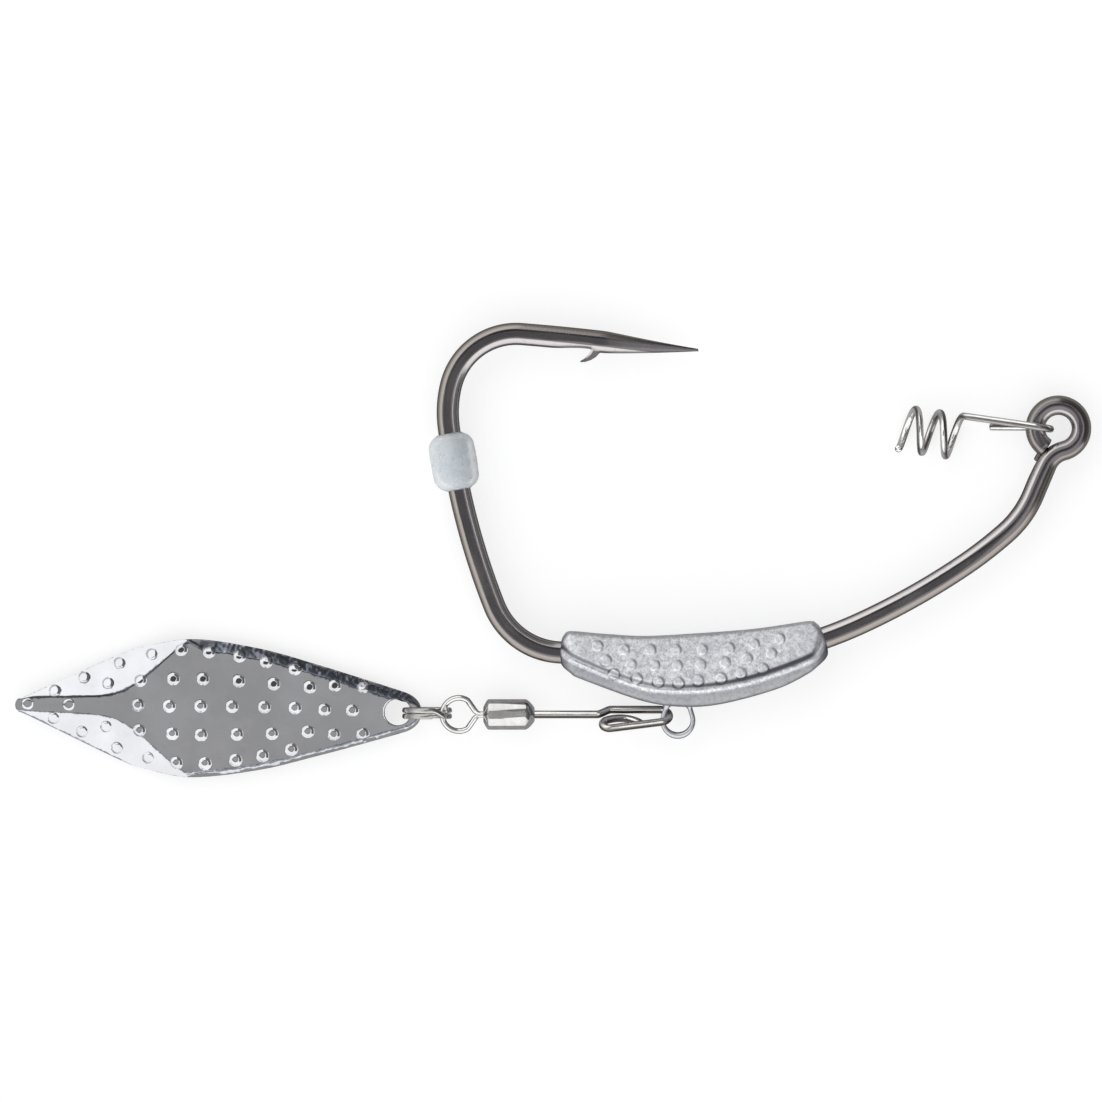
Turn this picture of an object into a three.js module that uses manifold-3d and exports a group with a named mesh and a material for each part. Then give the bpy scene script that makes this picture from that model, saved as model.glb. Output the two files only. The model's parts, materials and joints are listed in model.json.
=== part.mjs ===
// A weighted wide-gap hook with a hammered spinner blade hung under its belly weight.
// It lies on its side: X runs from the blade's tip to the hook's eye, Y from the belly
// to the hook's point, and Z is up.  Lengths are in millimetres, angles in degrees.
import * as THREE from 'three';
import { mergeVertices } from 'three/addons/utils/BufferGeometryUtils.js';
import Module from 'manifold-3d';

const wasm = await Module();
wasm.setup();

// ---- driving dimensions ----

const castGap = 0.25; // clearance around a wire that is cast into the weight

const hookWire = { width: 2.4, depth: 2.1, level: 2.9 };
const hookEye = { x: 56.3, y: 13.6, hole: 2.96, wire: 2.18, tagAngle: 236, wrap: 312.5, lap: 0.7 };
const eyeBend = { length: 2.54, turn: 50.5 };
// the wire after the eye, as a bender makes it: length of each bend and the angle it turns
const shankBends = [
  { length: 3.5, turn: 4 },
  { length: 5.4, turn: -26.5 },
  { length: 5.9, turn: -7.5 },
  { length: 12.8, turn: -9 },
  { length: 29.5, turn: -34 },
  { length: 5.4, turn: 4.5 },
];
const heelBend = { length: 9.2, turn: -64 };
const backLeg = { length: 20.7, turn: -14.5 };
const crownBends = [
  { length: 4.6, turn: -21 },
  { length: 10.5, turn: -80.5 },
];
const pointLeg = { length: 8.9, turn: -2 };
const point = { length: 10.8, tip: 0.12, shoulder: 1.17, lap: 0.4 };
const barb = { root: 1.6, length: 1.9, lift: 1.25, depth: 0.7 };

const weight = { thickness: 5.8, edgeIn: 0.85, edgeDown: 1.3 };
const hanger = { x: 13.95, y: -18.9, radius: 1.68, wire: 0.58, leg: 4.2 };

const bead = { radius: 2.58, length: 6.3, corner: 1.7, alongLeg: 16.65 };

const keeper = { wire: 0.81, tilt: -8.4, side: -0.2 };
const keeperCoil = { radius: 2.34, pitch: 2.67, turns: 2.48, end: -10.5 };
const keeperHook = { radius: 1.68, centre: -2.55 };
const keeperTail = { x: -7.4, y: -0.9, z: -1.4 };

const chain = { y: -18.25, level: 2.5 };
const barrel = { left: -7.7, length: 5.7, radius: 1.75, wall: 0.4, bore: 0.62, flats: 12 };
const barrelEnd = { eyeRadius: 0.9, eyeCone: 0.9, clipRadius: 0.76, clipCone: 1.0, thickness: 0.7 };
const swivelHead = { radius: 0.95, thickness: 0.6, clearance: 0.25 };

const clip = { wire: 0.88, lean: 52, shank: 6.9, rise: 0.85, riseAngle: 35, riseRadius: 0.75 };
const clipLoop = {
  top: 5.45, endRadius: 1.375, bottom: 5.85, foldRadius: 0.65, tongue: 3.4, tongueTurn: -8,
};

const swivelEye = { radius: 1.85, wire: 0.63, centre: -2.78, apex: -0.35, neck: 0.9 };

const splitRing = { x: -13.96, y: -18.1, level: 2.82, outer: 2.8, coil: 0.6, coilGap: 0.06 };
const splitStep = { at: 56, half: 20 };

const blade = { length: 45.3, sheet: 0.5, height: 2.3, tilt: -1.1, endX: -14.6, y: -18.06 };
const bladeHole = { fromEnd: 2.65, radius: 1.45 };
const bladeKeel = { halfWidth: 0.9, starts: 34.5, flareEnds: 24.5, rim: 0.9, tipLevel: 0.5 };

// ---- helpers ----

const radians = THREE.MathUtils.degToRad;

function addMesh(parent, name, geometry, colour, roughness, metalness) {
  const material = new THREE.MeshStandardMaterial({ color: colour, roughness, metalness });
  const mesh = new THREE.Mesh(geometry, material);
  mesh.name = name;
  parent.add(mesh);
  return mesh;
}

function toSolid(geometry) {
  const plain = geometry.clone();
  plain.deleteAttribute('normal');
  plain.deleteAttribute('uv');
  const merged = mergeVertices(plain);
  const mesh = new wasm.Mesh({
    numProp: 3,
    vertProperties: merged.attributes.position.array,
    triVerts: Uint32Array.from(merged.index.array),
  });
  return new wasm.Manifold(mesh);
}

function toGeometry(solid) {
  const mesh = solid.getMesh();
  const geometry = new THREE.BufferGeometry();
  geometry.setAttribute('position', new THREE.BufferAttribute(mesh.vertProperties, 3));
  geometry.setIndex(new THREE.BufferAttribute(mesh.triVerts, 1));
  geometry.computeVertexNormals();
  return geometry;
}

// A wire bent in the XY plane: each bend is an arc, and a bend that turns by 0 is straight.
class BentWire extends THREE.Curve {
  constructor(start, heading, bends) {
    super();
    this.start = start;
    this.heading = heading;
    this.bends = bends;
    this.total = bends.reduce((sum, bend) => sum + bend.length, 0);
  }

  // place and heading at a distance along the wire
  walk(distance) {
    const place = new THREE.Vector3(this.start.x, this.start.y, 0);
    let heading = this.heading;
    let left = distance;
    for (const bend of this.bends) {
      const run = Math.min(left, bend.length);
      const turned = (bend.turn * run) / bend.length;
      const half = radians(turned / 2);
      const chord = Math.abs(half) < 1e-9 ? run : (run * Math.sin(half)) / half;
      const along = radians(heading) + half;
      place.x += chord * Math.cos(along);
      place.y += chord * Math.sin(along);
      heading += turned;
      left -= run;
    }
    return { place, heading };
  }

  getPoint(t, target = new THREE.Vector3()) {
    return target.copy(this.walk(t * this.total).place);
  }
}

function ovalSection(depth, width, sides) {
  const corners = [];
  for (let i = 0; i < sides; i += 1) {
    const angle = (2 * Math.PI * i) / sides;
    corners.push(new THREE.Vector2((depth / 2) * Math.cos(angle), (width / 2) * Math.sin(angle)));
  }
  return new THREE.Shape(corners);
}

function sweep(path, section, steps) {
  return new THREE.ExtrudeGeometry(section, { extrudePath: path, steps, bevelEnabled: false });
}

function latheRing(profile, sides) {
  const points = profile.map(([radius, along]) => new THREE.Vector2(radius, along));
  points.push(points[0].clone());
  return new THREE.LatheGeometry(points, sides);
}

// a headed pin along +X, from the back of its head to the end of its neck
function headedPin(headRadius, headThickness, neckRadius, length) {
  const profile = [
    new THREE.Vector2(0, 0),
    new THREE.Vector2(headRadius, 0),
    new THREE.Vector2(headRadius, headThickness),
    new THREE.Vector2(neckRadius, headThickness),
    new THREE.Vector2(neckRadius, length),
    new THREE.Vector2(0, length),
  ];
  return new THREE.LatheGeometry(profile, 12).rotateZ(-Math.PI / 2);
}

// ---- hook: round eye, curved shank, heel, back leg, crown, point and barb ----

const eyeRadius = (hookEye.hole + hookEye.wire) / 2;
const tag = new THREE.Vector3(
  hookEye.x + eyeRadius * Math.cos(radians(hookEye.tagAngle)),
  hookEye.y + eyeRadius * Math.sin(radians(hookEye.tagAngle)),
  0,
);
const eyeWrap = { length: eyeRadius * radians(hookEye.wrap), turn: -hookEye.wrap };
const eyePath = new BentWire(tag, hookEye.tagAngle - 90, [eyeWrap, eyeBend]);
const shankStart = eyePath.walk(eyePath.total);
const hookPath = new BentWire(shankStart.place, shankStart.heading, [
  ...shankBends,
  heelBend,
  backLeg,
  ...crownBends,
  pointLeg,
]);
const hookSection = ovalSection(hookWire.depth, hookWire.width, 12);

function pointCone(end) {
  const cone = new THREE.CylinderGeometry(point.tip, point.shoulder, point.length + point.lap, 12);
  cone.translate(0, (point.length - point.lap) / 2, 0);
  cone.scale(1, 1, hookWire.depth / hookWire.width);
  cone.rotateZ(radians(end.heading - 90));
  cone.translate(end.place.x, end.place.y, 0);
  return cone;
}

function barbWedge(end) {
  const under = -hookWire.width / 2;
  const outline = new THREE.Shape();
  outline.moveTo(barb.root, under + 0.75);
  outline.lineTo(barb.root, under + 0.15);
  outline.lineTo(barb.root - barb.length, under - barb.lift);
  outline.lineTo(barb.root - barb.length + 1, under + 0.75);
  const wedge = new THREE.ExtrudeGeometry(outline, { depth: barb.depth, bevelEnabled: false });
  wedge.translate(0, 0, -barb.depth / 2);
  wedge.rotateZ(radians(end.heading));
  wedge.translate(end.place.x, end.place.y, 0);
  return wedge;
}

function makeHook() {
  const end = hookPath.walk(hookPath.total);
  const lap = { length: hookEye.lap, turn: 0 };
  const lappedEye = new BentWire(tag, hookEye.tagAngle - 90, [eyeWrap, eyeBend, lap]);
  const eye = toSolid(sweep(lappedEye, ovalSection(hookEye.wire, hookEye.wire, 12), 46));
  const shank = toSolid(sweep(hookPath, hookSection, 84));
  const tip = toSolid(pointCone(end));
  const wedge = toSolid(barbWedge(end));
  return toGeometry(eye.add(shank).add(tip).add(wedge));
}

// ---- belly weight, cast round the shank and the hanger's legs ----

function weightOutline() {
  const outline = new THREE.Shape();
  outline.moveTo(2.2, -9);
  outline.splineThru([
    new THREE.Vector2(6.1, -9.3),
    new THREE.Vector2(11.5, -9.5),
    new THREE.Vector2(21.7, -8.8),
    new THREE.Vector2(28.2, -7.9),
  ]);
  outline.quadraticCurveTo(29.3, -7.8, 29.7, -8.6);
  outline.quadraticCurveTo(30.5, -10.2, 30.6, -11.1);
  outline.quadraticCurveTo(30.6, -12.2, 29.6, -12.9);
  outline.splineThru([
    new THREE.Vector2(24.9, -15.4),
    new THREE.Vector2(19, -17),
    new THREE.Vector2(14.6, -17.35),
    new THREE.Vector2(10, -16.7),
    new THREE.Vector2(2.7, -14.15),
  ]);
  outline.quadraticCurveTo(1.1, -13.3, 0.9, -11.9);
  outline.quadraticCurveTo(0.8, -10.9, 1.1, -9.9);
  outline.quadraticCurveTo(1.3, -9, 2.2, -9);
  return outline;
}

function hangerPath() {
  const quarter = (hanger.radius * Math.PI) / 2;
  const start = { x: hanger.x - hanger.radius, y: hanger.y + hanger.leg };
  return new BentWire(start, -90, [
    { length: hanger.leg, turn: 0 },
    { length: 2 * quarter, turn: 180 },
    { length: hanger.leg, turn: 0 },
  ]);
}

function makeHanger() {
  return sweep(hangerPath(), ovalSection(hanger.wire, hanger.wire, 8), 24);
}

function makeWeight() {
  const body = new THREE.ExtrudeGeometry(weightOutline(), {
    depth: weight.thickness - 2 * weight.edgeDown,
    curveSegments: 5,
    bevelThickness: weight.edgeDown,
    bevelSize: weight.edgeIn,
    bevelOffset: -weight.edgeIn,
    bevelSegments: 3,
  });
  body.translate(0, 0, weight.edgeDown - weight.thickness / 2);
  const room = 2 * castGap;
  const channel = ovalSection(hookWire.depth + room, hookWire.width + room, 12);
  const shankChannel = toSolid(sweep(hookPath, channel, 84));
  const legSection = ovalSection(hanger.wire + room, hanger.wire + room, 8);
  const legChannel = toSolid(sweep(hangerPath(), legSection, 24));
  return toGeometry(toSolid(body).subtract(shankChannel).subtract(legChannel));
}

// ---- bead on the back leg ----

const backLegStart = [...shankBends, heelBend].reduce((sum, bend) => sum + bend.length, 0);
const beadSeat = hookPath.walk(backLegStart + bead.alongLeg);

function makeBead() {
  const bore = hookWire.width / 2 + castGap;
  const half = bead.length / 2;
  const profile = [[bore, -half]];
  const arcs = 5;
  for (const end of [-1, 1]) {
    for (let i = 0; i <= arcs; i += 1) {
      const share = end < 0 ? i / arcs : 1 - i / arcs;
      const angle = (share * Math.PI) / 2;
      const corner = Math.min(bead.corner, bead.radius - bore);
      const radius = bead.radius - corner * (1 - Math.sin(angle));
      profile.push([radius, end * (half - corner * (1 - Math.cos(angle)))]);
    }
  }
  profile.push([bore, half]);
  const seen = profile.filter(([radius, along], i) => i === 0
    || radius !== profile[i - 1][0] || along !== profile[i - 1][1]);
  return latheRing(seen, 24);
}

// ---- keeper: a screw coil hung on the hook's eye by an open wire hook ----

function keeperPoints() {
  const points = [];
  const turned = keeperCoil.turns * 360;
  const coilLength = keeperCoil.turns * keeperCoil.pitch;
  const coilSteps = 32;
  const lastShare = 0.965;
  for (let i = 0; i <= coilSteps; i += 1) {
    const share = (lastShare * i) / coilSteps;
    const angle = radians(turned * (share - 1));
    points.push(new THREE.Vector3(
      keeperCoil.end - 0.15 - coilLength * (1 - share),
      keeper.side - keeperCoil.radius * (1 - Math.cos(angle)),
      keeperCoil.radius * Math.sin(angle),
    ));
  }
  points.push(new THREE.Vector3(keeperCoil.end - 0.1, keeper.side, -0.1));
  points.push(new THREE.Vector3(keeperCoil.end + 0.8, keeper.side, 0.22));
  points.push(new THREE.Vector3(keeperCoil.end + 4, keeper.side, 0.92));
  const hookSteps = 8;
  for (let i = 0; i <= hookSteps; i += 1) {
    const angle = Math.PI * (0.5 - i / hookSteps);
    points.push(new THREE.Vector3(
      keeperHook.centre + keeperHook.radius * Math.cos(angle),
      keeper.side,
      keeperHook.radius * Math.sin(angle),
    ));
  }
  points.push(new THREE.Vector3(keeperTail.x, keeperTail.y, keeperTail.z));
  return points;
}

function makeKeeper() {
  const path = new THREE.CatmullRomCurve3(keeperPoints(), false, 'centripetal');
  return sweep(path, ovalSection(keeper.wire, keeper.wire, 8), 96);
}

// ---- swivel barrel: a faceted tube swaged down over a headed pin at each end ----

function makeBarrel() {
  const inner = barrel.radius - barrel.wall;
  const profile = [
    [barrel.bore, 0],
    [barrelEnd.eyeRadius, 0],
    [barrel.radius, barrelEnd.eyeCone],
    [barrel.radius, barrel.length - barrelEnd.clipCone],
    [barrelEnd.clipRadius, barrel.length],
    [barrel.bore, barrel.length],
    [barrel.bore, barrel.length - barrelEnd.thickness],
    [inner, barrel.length - barrelEnd.thickness - 0.5],
    [inner, barrelEnd.thickness + 0.5],
    [barrel.bore, barrelEnd.thickness],
  ];
  return latheRing(profile, barrel.flats).rotateY(Math.PI / barrel.flats).rotateZ(-Math.PI / 2);
}

// ---- clip: a flat wire coil whose last turn can be slid out over the hanger ----

function makeClip() {
  const inside = barrelEnd.thickness + 0.5 + swivelHead.clearance;
  const riseArc = { length: clip.riseRadius * radians(clip.riseAngle), turn: clip.riseAngle };
  const arcsRise = 2 * clip.riseRadius * (1 - Math.cos(radians(clip.riseAngle)));
  const riseRun = (clip.rise - arcsRise) / Math.sin(radians(clip.riseAngle));
  const path = new BentWire({ x: 0, y: 0 }, 0, [
    { length: clip.shank, turn: 0 },
    riseArc,
    { length: riseRun, turn: 0 },
    { length: riseArc.length, turn: -clip.riseAngle },
    { length: clipLoop.top, turn: 0 },
    { length: Math.PI * clipLoop.endRadius, turn: -180 },
    { length: clipLoop.bottom, turn: 0 },
    { length: Math.PI * clipLoop.foldRadius, turn: -180 },
    { length: clipLoop.tongue, turn: clipLoop.tongueTurn },
  ]);
  const wire = sweep(path, ovalSection(clip.wire, clip.wire, 8), 70);
  const pin = headedPin(swivelHead.radius, swivelHead.thickness, clip.wire / 2 + 0.02, inside + 1);
  pin.translate(-inside - swivelHead.thickness, 0, 0);
  return toGeometry(toSolid(wire).add(toSolid(pin)));
}

// ---- swivel eye: a wire loop whose two ends close into one headed neck ----

function makeSwivelEye() {
  const reach = swivelEye.apex - swivelEye.centre;
  const touch = Math.acos(swivelEye.radius / reach);
  const legLength = Math.sqrt(reach * reach - swivelEye.radius * swivelEye.radius);
  const halfTurn = 180 - THREE.MathUtils.radToDeg(touch);
  const section = ovalSection(swivelEye.wire, swivelEye.wire, 8);
  const inside = barrelEnd.thickness + 0.5 + swivelHead.clearance;
  const pin = headedPin(swivelHead.radius, swivelHead.thickness, swivelEye.neck / 2, inside + 1.6);
  pin.rotateY(Math.PI);
  pin.translate(inside + swivelHead.thickness, 0, 0);
  let eye = toSolid(pin);
  for (const side of [1, -1]) {
    const heading = side * (90 + THREE.MathUtils.radToDeg(touch));
    const path = new BentWire({ x: swivelEye.apex, y: 0 }, heading, [
      { length: legLength, turn: 0 },
      { length: swivelEye.radius * radians(halfTurn + 0.5), turn: side * (halfTurn + 0.5) },
    ]);
    eye = eye.add(toSolid(sweep(path, section, 26)));
  }
  return toGeometry(eye);
}

// ---- split ring: two flat coils with one step between them ----

class SplitRingPath extends THREE.Curve {
  getPoint(t, target = new THREE.Vector3()) {
    const sweepAngle = 720 - 2 * splitStep.half;
    const past = splitStep.half + t * sweepAngle;
    const share = THREE.MathUtils.smoothstep(past, 360 - splitStep.half, 360 + splitStep.half);
    const angle = radians(splitStep.at + past);
    const radius = splitRing.outer - splitRing.coil / 2;
    const side = (splitRing.coil + splitRing.coilGap) * (share - 0.5);
    return target.set(radius * Math.cos(angle), side, radius * Math.sin(angle));
  }
}

function makeSplitRing() {
  return sweep(new SplitRingPath(), ovalSection(splitRing.coil, splitRing.coil, 8), 84);
}

// ---- blade: sheet with a flat back, a keeled tip and turned-down edges ----

const bladeSide = new THREE.SplineCurve([
  new THREE.Vector2(0, 0.5),
  new THREE.Vector2(0.8, 1.72),
  new THREE.Vector2(2.1, 2.34),
  new THREE.Vector2(11.7, 5.12),
  new THREE.Vector2(18, 6.75),
  new THREE.Vector2(25.4, 7.7),
  new THREE.Vector2(30.8, 6.84),
  new THREE.Vector2(34, 5.74),
  new THREE.Vector2(43.6, 1.26),
  new THREE.Vector2(blade.length, 0.35),
]);

function bladeBack(along, halfWidth) {
  const flare = THREE.MathUtils.smoothstep(along, bladeKeel.flareEnds, bladeKeel.starts);
  const wide = Math.max(halfWidth - bladeKeel.rim, 0.5 * halfWidth);
  const narrow = Math.min(bladeKeel.halfWidth, 0.5 * halfWidth);
  return THREE.MathUtils.lerp(wide, narrow, flare);
}

function bladeRidge(along) {
  const top = blade.height - blade.sheet / 2;
  const drop = THREE.MathUtils.smoothstep(along, 30, blade.length + 4);
  return THREE.MathUtils.lerp(top, bladeKeel.tipLevel, drop);
}

function makeBlade() {
  const rows = 6;
  const columns = 48;
  const geometry = new THREE.BoxGeometry(1, 1, blade.sheet, columns, rows, 1);
  const position = geometry.attributes.position;
  const edgeLevel = blade.sheet / 2;
  for (let i = 0; i < position.count; i += 1) {
    const share = position.getX(i) + 0.5;
    const outward = bladeSide.getPoint(share);
    const row = Math.round((position.getY(i) + 0.5) * rows) - rows / 2;
    const back = bladeBack(outward.x, outward.y);
    const onBack = Math.min(Math.abs(row), 2) / 2;
    const across = Math.abs(row) === 3 ? outward.y : back * onBack;
    const backLevel = bladeRidge(outward.x) - 0.007 * (back * onBack) ** 2;
    const level = Math.abs(row) === 3 ? edgeLevel : Math.max(backLevel, edgeLevel);
    position.setXYZ(i, -outward.x, -Math.sign(row) * across, level + position.getZ(i));
  }
  const hole = new THREE.CylinderGeometry(bladeHole.radius, bladeHole.radius, 10, 20);
  hole.rotateX(Math.PI / 2);
  hole.translate(-bladeHole.fromEnd, 0, 0);
  return toGeometry(toSolid(geometry).subtract(toSolid(hole)));
}

// ---- assembly ----

const lure = new THREE.Group();

const hookGroup = new THREE.Group();
hookGroup.position.z = hookWire.level;
lure.add(hookGroup);
addMesh(hookGroup, 'hook', makeHook(), 0x4b4847, 0.3, 0.9);
addMesh(hookGroup, 'belly_weight', makeWeight(), 0xb9bcc0, 0.55, 0.7);
addMesh(hookGroup, 'weight_hanger', makeHanger(), 0xaaadb2, 0.4, 0.9);

const beadMesh = addMesh(hookGroup, 'stopper_bead', makeBead(), 0xaeb8c0, 0.45, 0);
beadMesh.position.copy(beadSeat.place);
beadMesh.rotation.z = radians(beadSeat.heading - 90);

const keeperMesh = addMesh(hookGroup, 'bait_keeper', makeKeeper(), 0x8d8f92, 0.3, 0.9);
keeperMesh.position.set(hookEye.x, hookEye.y, 0);
keeperMesh.rotation.z = radians(keeper.tilt);

const chainGroup = new THREE.Group();
chainGroup.position.set(barrel.left, chain.y, chain.level);
lure.add(chainGroup);
addMesh(chainGroup, 'swivel_barrel', makeBarrel(), 0x8a8a8c, 0.2, 1);
addMesh(chainGroup, 'swivel_eye', makeSwivelEye(), 0x8a8a8c, 0.2, 1);
const clipMesh = addMesh(chainGroup, 'clip_wire', makeClip(), 0x77777a, 0.25, 1);
clipMesh.position.x = barrel.length;
clipMesh.rotation.x = -radians(clip.lean);

const ringMesh = addMesh(lure, 'split_ring', makeSplitRing(), 0x8d8d90, 0.2, 1);
ringMesh.position.set(splitRing.x, splitRing.y, splitRing.level);

const bladeMesh = addMesh(lure, 'spinner_blade', makeBlade(), 0xa9a9ae, 0.12, 1);
bladeMesh.position.set(blade.endX, blade.y, 0);
bladeMesh.rotation.z = radians(blade.tilt);

// the origin is under the middle of the whole
const box = new THREE.Box3().setFromObject(lure, true);
const middle = box.getCenter(new THREE.Vector3());
lure.position.set(-middle.x, -middle.y, -box.min.z);

export default lure;
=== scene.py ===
import json
from math import atan2, copysign, cos, exp, hypot, pi, radians, sin, sqrt
import bmesh
import bpy
from bmesh.types import BMEdge, BMFace, BMVert
from mathutils import Matrix, Vector, kdtree, noise


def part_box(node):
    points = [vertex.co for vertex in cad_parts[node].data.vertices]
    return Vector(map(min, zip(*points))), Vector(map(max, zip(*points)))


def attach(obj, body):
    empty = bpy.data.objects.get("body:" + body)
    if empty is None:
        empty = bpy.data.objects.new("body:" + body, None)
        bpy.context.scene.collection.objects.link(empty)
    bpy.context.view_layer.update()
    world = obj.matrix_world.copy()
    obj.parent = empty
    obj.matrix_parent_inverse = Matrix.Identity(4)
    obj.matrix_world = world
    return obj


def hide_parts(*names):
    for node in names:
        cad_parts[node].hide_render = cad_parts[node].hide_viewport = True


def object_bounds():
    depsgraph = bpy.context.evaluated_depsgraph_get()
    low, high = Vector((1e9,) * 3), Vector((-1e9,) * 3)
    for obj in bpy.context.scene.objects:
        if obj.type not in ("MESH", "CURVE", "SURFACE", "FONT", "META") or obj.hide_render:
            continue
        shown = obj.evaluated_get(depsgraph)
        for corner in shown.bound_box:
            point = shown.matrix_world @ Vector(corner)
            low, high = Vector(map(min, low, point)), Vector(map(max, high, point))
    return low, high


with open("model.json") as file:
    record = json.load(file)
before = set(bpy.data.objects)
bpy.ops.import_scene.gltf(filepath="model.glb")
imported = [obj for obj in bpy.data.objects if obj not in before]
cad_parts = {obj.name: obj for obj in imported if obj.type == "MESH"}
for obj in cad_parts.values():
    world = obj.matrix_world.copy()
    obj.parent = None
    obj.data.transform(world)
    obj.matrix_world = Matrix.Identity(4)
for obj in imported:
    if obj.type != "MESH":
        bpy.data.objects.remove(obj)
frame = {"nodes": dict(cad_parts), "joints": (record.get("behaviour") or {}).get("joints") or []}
cadLow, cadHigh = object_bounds()
print("frame loaded:", len(frame["nodes"]), "parts")

# Shapes are worked out in millimetres on the drawing's own axes, then scaled and moved
# into the frame by the place of the hook's eye.
mm = 0.001
jointAt = {joint["name"]: Vector(joint["pos_m"]) / mm for joint in frame["joints"]}
drawnEye = Vector((56.3, 13.6, 2.9))
frameShift = jointAt["keeper_swing"] - drawnEye
upward = Vector((0, 0, 1))


def smoothStep(value, low, high):
    share = min(max((value - low) / (high - low), 0), 1)
    return share * share * (3 - 2 * share)


def between(low, high, share):
    return low + (high - low) * share


def bell(value, width):
    # 1 at zero, falling to almost nothing by twice the width
    return exp(-(value / width) ** 2)


def roughNoise(place, size, seed=0.0):
    # smooth noise from -1 to 1 whose bumps are about `size` millimetres across
    return noise.noise(Vector(place) / size + Vector((seed, 3 * seed, 0)))


def smoothLine(points, perSpan):
    # an even curve through a list of points
    points = [Vector(point) for point in points]
    ends = [2 * points[0] - points[1], 2 * points[-1] - points[-2]]
    knots = [ends[0], *points, ends[1]]
    line = []
    for n in range(len(points) - 1):
        before, start, finish, after = knots[n:n + 4]
        for step in range(perSpan):
            t = step / perSpan
            line.append(0.5 * (2 * start + (finish - before) * t
                               + (2 * before - 5 * start + 4 * finish - after) * t * t
                               + (3 * start - before - 3 * finish + after) * t ** 3))
    line.append(points[-1])
    return line


def runsAlong(line):
    # how far each point is from the start, along the line
    runs = [0.0]
    for a, b in zip(line, line[1:]):
        runs.append(runs[-1] + (b - a).length)
    return runs


def spaced(line, count):
    # the same line as `count` + 1 points an equal way apart
    runs = runsAlong(line)
    result = []
    span = 0
    for n in range(count + 1):
        want = runs[-1] * n / count
        while span < len(line) - 2 and runs[span + 1] < want:
            span += 1
        share = (want - runs[span]) / max(runs[span + 1] - runs[span], 1e-9)
        result.append(line[span].lerp(line[span + 1], min(max(share, 0), 1)))
    return result


def bendRoute(start, heading, bends, step, axis=(0, 0, 1)):
    # points along a wire bent square to an axis; each bend is its length and the angle it turns
    place = Vector(start)
    along = Vector(heading).normalized()
    route = [place.copy()]
    for length, turn in bends:
        count = max(1, round(length / step), round(abs(turn) / 7))
        half = Matrix.Rotation(radians(turn / count / 2), 3, Vector(axis))
        for _ in range(count):
            along = half @ along
            place = place + along * length / count
            along = half @ along
            route.append(place.copy())
    return route


def moveVerts(bm, matrix, verts):
    bmesh.ops.transform(bm, matrix=matrix, space=Matrix.Identity(4), verts=verts)


def newObject(name, contents):
    made = bpy.data.objects.new(name, contents)
    bpy.context.scene.collection.objects.link(made)
    return made


def newMesh():
    bm = bmesh.new()
    bm.verts.layers.float_vector.new("wirePlace")
    bm.verts.layers.int.new("around")
    bm.verts.layers.float.new("tone")
    return bm


def only(items, kind):
    return [item for item in items if isinstance(item, kind)]


def pullEdges(bm, edges):
    # extrudes loose edges in place, and gives the new vertices and edges
    made = bmesh.ops.extrude_edge_only(bm, edges=edges)["geom"]
    verts = only(made, BMVert)
    known = set(verts)
    return verts, [edge for edge in only(made, BMEdge) if edge.verts[0] in known and edge.verts[1] in known]


def layWire(bm, route, radius, sides, up=upward):
    # a ring of vertices pulled along the route and turned with it
    around = bm.verts.layers.int["around"]
    along = (route[1] - route[0]).normalized()
    up = (Vector(up) - along * along.dot(Vector(up))).normalized()
    side = up.cross(along)
    place = Matrix((side, up, along)).transposed().to_4x4()
    place.translation = route[0]
    made = bmesh.ops.create_circle(bm, cap_ends=False, segments=sides, radius=radius, matrix=place)
    ring = made["verts"]
    for vert in ring:
        local = vert.co - route[0]
        turn = atan2(local.dot(up), local.dot(side)) / (2 * pi)
        vert[around] = round(turn * sides) % sides
    edges = [edge for edge in bm.edges if edge.verts[0] in ring and edge.verts[1] in ring]
    rings = []
    station = 0.0
    for n, centre in enumerate(route):
        if n > 0:
            ahead = route[min(n + 1, len(route) - 1)]
            turned = (ahead - route[n - 1]).normalized()
            swing = along.rotation_difference(turned)
            ring, edges = pullEdges(bm, edges)
            move = Matrix.Translation(centre) @ swing.to_matrix().to_4x4() @ Matrix.Translation(-route[n - 1])
            moveVerts(bm, move, ring)
            up = swing @ up
            along = turned
            station += (centre - route[n - 1]).length
        ring = sorted(ring, key=lambda vert: vert[around])
        rings.append({"verts": ring, "centre": centre.copy(), "along": along.copy(), "up": up.copy(),
                      "side": up.cross(along), "station": station, "edges": list(edges)})
    return rings


def shapeWire(bm, rings, rule):
    # moves each ring's vertices across the wire: the rule takes the distance along and the angle
    for ring in rings:
        sides = len(ring["verts"])
        for n, vert in enumerate(ring["verts"]):
            across, high = rule(ring["station"], 2 * pi * n / sides)
            vert.co = ring["centre"] + ring["side"] * across + ring["up"] * high


def markWire(bm, rings):
    # keeps where each vertex is on the straightened wire, in metres, for the materials
    marks = bm.verts.layers.float_vector["wirePlace"]
    for ring in rings:
        for vert in ring["verts"]:
            local = vert.co - ring["centre"]
            vert[marks] = Vector((local.dot(ring["side"]), local.dot(ring["up"]), ring["station"])) * mm


def closeEnd(bm, ring, outward, bulge):
    # a rounded end on a wire
    rounds = 3
    edges = ring["edges"]
    centre = ring["centre"].copy()
    for n in range(1, rounds + 1):
        last = pi / 2 * (n - 1) / (rounds + 0.4)
        turn = pi / 2 * n / (rounds + 0.4)
        verts, edges = pullEdges(bm, edges)
        shrink = cos(turn) / cos(last)
        space = Matrix.Translation(-centre)
        bmesh.ops.scale(bm, vec=(shrink, shrink, shrink), space=space, verts=verts)
        step = outward * bulge * (sin(turn) - sin(last))
        bmesh.ops.translate(bm, vec=step, verts=verts)
        centre += step
    bmesh.ops.contextual_create(bm, geom=edges)


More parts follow.
